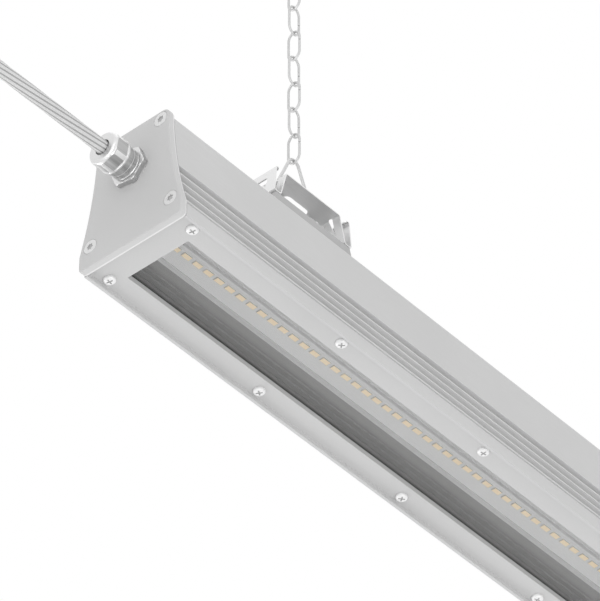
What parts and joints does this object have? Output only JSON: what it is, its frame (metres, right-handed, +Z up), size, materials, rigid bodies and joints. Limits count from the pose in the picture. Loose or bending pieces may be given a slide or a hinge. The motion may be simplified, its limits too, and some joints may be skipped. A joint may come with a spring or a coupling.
{
  "type": "hanging linear shop light",
  "caption": "Long grey extruded ceiling light with a recessed glass window and light boards, hung from two chains by wire hooks and spring clips, with a cable gland in one end.",
  "frame": {"origin": "Middle of the first ceiling plate's top face, on the ceiling above hanging point A, which is the one nearest the cable gland.", "axes": "+Z points up into the ceiling, +X runs along the light from the cable gland end to the far end, +Y completes a right-handed frame and points to the light's right side."},
  "size_m": [1.3305, 0.077, 0.609],
  "materials": {
    "anodised": "matt natural anodised extrusion",
    "cap_paint": "matt light grey powder coat",
    "frame_paint": "matt light grey powder coat",
    "spring_steel": "bright rolled spring steel",
    "chain_zinc": "bright zinc plated wire",
    "zinc_plate": "zinc plated steel",
    "stainless": "plain stainless steel",
    "white_zinc": "pale passivated zinc",
    "nickel_brass": "satin nickel on brass",
    "block_plastic": "fine grained mid grey plastic",
    "black_rubber": "soft black rubber",
    "clear_glass": "clear toughened glass",
    "board_lacquer": "white solder lacquer",
    "phosphor": "warm yellow phosphor resin",
    "driver_case": "plain white case",
    "terminal_plastic": "plain ivory plastic",
    "core_insulation": "smooth core insulation",
    "feed_insulation": "smooth core insulation",
    "cable_sheath": "ribbed light grey sheath",
    "connector_plastic": "fine grained black plastic"
  },
  "bodies": {
    "ceiling": {"ceiling_plate_a": "zinc_plate", "ceiling_hook_a": "zinc_plate", "ceiling_plate_b": "zinc_plate", "ceiling_hook_b": "zinc_plate"},
    "top_link_a": {"chain_a_link_8": "chain_zinc"},
    "chain_a": {"chain_a_link_1": "chain_zinc", "chain_a_link_2": "chain_zinc", "chain_a_link_3": "chain_zinc", "chain_a_link_4": "chain_zinc", "chain_a_link_5": "chain_zinc", "chain_a_link_6": "chain_zinc", "chain_a_link_7": "chain_zinc"},
    "hook_a": {"v_hook_a": "spring_steel"},
    "luminaire": {"bracket_clip_a": "spring_steel", "bracket_clip_b": "spring_steel", "clip_screws_a": "stainless", "clip_screws_b": "stainless", "mount_block_a": "block_plastic", "mount_block_b": "block_plastic", "block_screws_a": "stainless", "block_screws_b": "stainless", "housing_extrusion": "anodised", "end_cap_near": "cap_paint", "end_cap_far": "cap_paint", "end_gasket_near": "black_rubber", "end_gasket_far": "black_rubber", "cap_screws_near": "stainless", "cap_screws_far": "stainless", "front_frame": "frame_paint", "frame_screws_left": "white_zinc", "frame_screws_right": "white_zinc", "front_glass": "clear_glass", "glass_gasket": "black_rubber", "led_board_left": "board_lacquer", "led_board_right": "board_lacquer", "led_packages_left": "phosphor", "led_packages_right": "phosphor", "led_driver": "driver_case", "terminal_block": "terminal_plastic", "gear_screws": "stainless", "mains_cores": "core_insulation", "driver_input_wires": "core_insulation", "led_feed_wires": "feed_insulation", "gland_body": "nickel_brass", "gland_lock_nut": "nickel_brass", "gland_dome_nut": "nickel_brass", "gland_seal": "black_rubber", "power_cable": "cable_sheath", "connector_nut": "connector_plastic", "connector_body": "connector_plastic"},
    "top_link_b": {"chain_b_link_8": "chain_zinc"},
    "chain_b": {"chain_b_link_1": "chain_zinc", "chain_b_link_2": "chain_zinc", "chain_b_link_3": "chain_zinc", "chain_b_link_4": "chain_zinc", "chain_b_link_5": "chain_zinc", "chain_b_link_6": "chain_zinc", "chain_b_link_7": "chain_zinc"},
    "hook_b": {"v_hook_b": "spring_steel"}
  },
  "joints": [
    {"name": "sway", "type": "hinge", "parent": "ceiling", "child": "top_link_a", "pos_m": [0, 0, -0.0238], "axis": [1, 0, 0], "range_deg": [-25, 25]},
    {"name": "swing", "type": "hinge", "parent": "top_link_a", "child": "chain_a", "pos_m": [0, 0, -0.0452], "axis": [0, 1, 0], "range_deg": [-15, 15]},
    {"name": "hook_level", "type": "hinge", "parent": "chain_a", "child": "hook_a", "pos_m": [0, 0, -0.1968], "axis": [0, 1, 0], "range_deg": [-15, 15]},
    {"name": "tilt", "type": "hinge", "parent": "hook_a", "child": "luminaire", "pos_m": [0, 0, -0.233], "axis": [1, 0, 0], "range_deg": [-12, 12]},
    {"name": "sway_far", "type": "hinge", "parent": "ceiling", "child": "top_link_b", "pos_m": [0.886, 0, -0.0238], "axis": [1, 0, 0], "range_deg": [-25, 25]},
    {"name": "swing_far", "type": "hinge", "parent": "top_link_b", "child": "chain_b", "pos_m": [0.886, 0, -0.0452], "axis": [0, 1, 0], "range_deg": [-15, 15]},
    {"name": "hook_level_far", "type": "hinge", "parent": "chain_b", "child": "hook_b", "pos_m": [0.886, 0, -0.1968], "axis": [0, 1, 0], "range_deg": [-15, 15]}
  ],
  "couplings": [
    {"joint": "hook_level", "follows": "swing", "ratio": -1},
    {"joint": "sway_far", "follows": "sway", "ratio": 1},
    {"joint": "swing_far", "follows": "swing", "ratio": 1},
    {"joint": "hook_level_far", "follows": "swing", "ratio": -1}
  ]
}
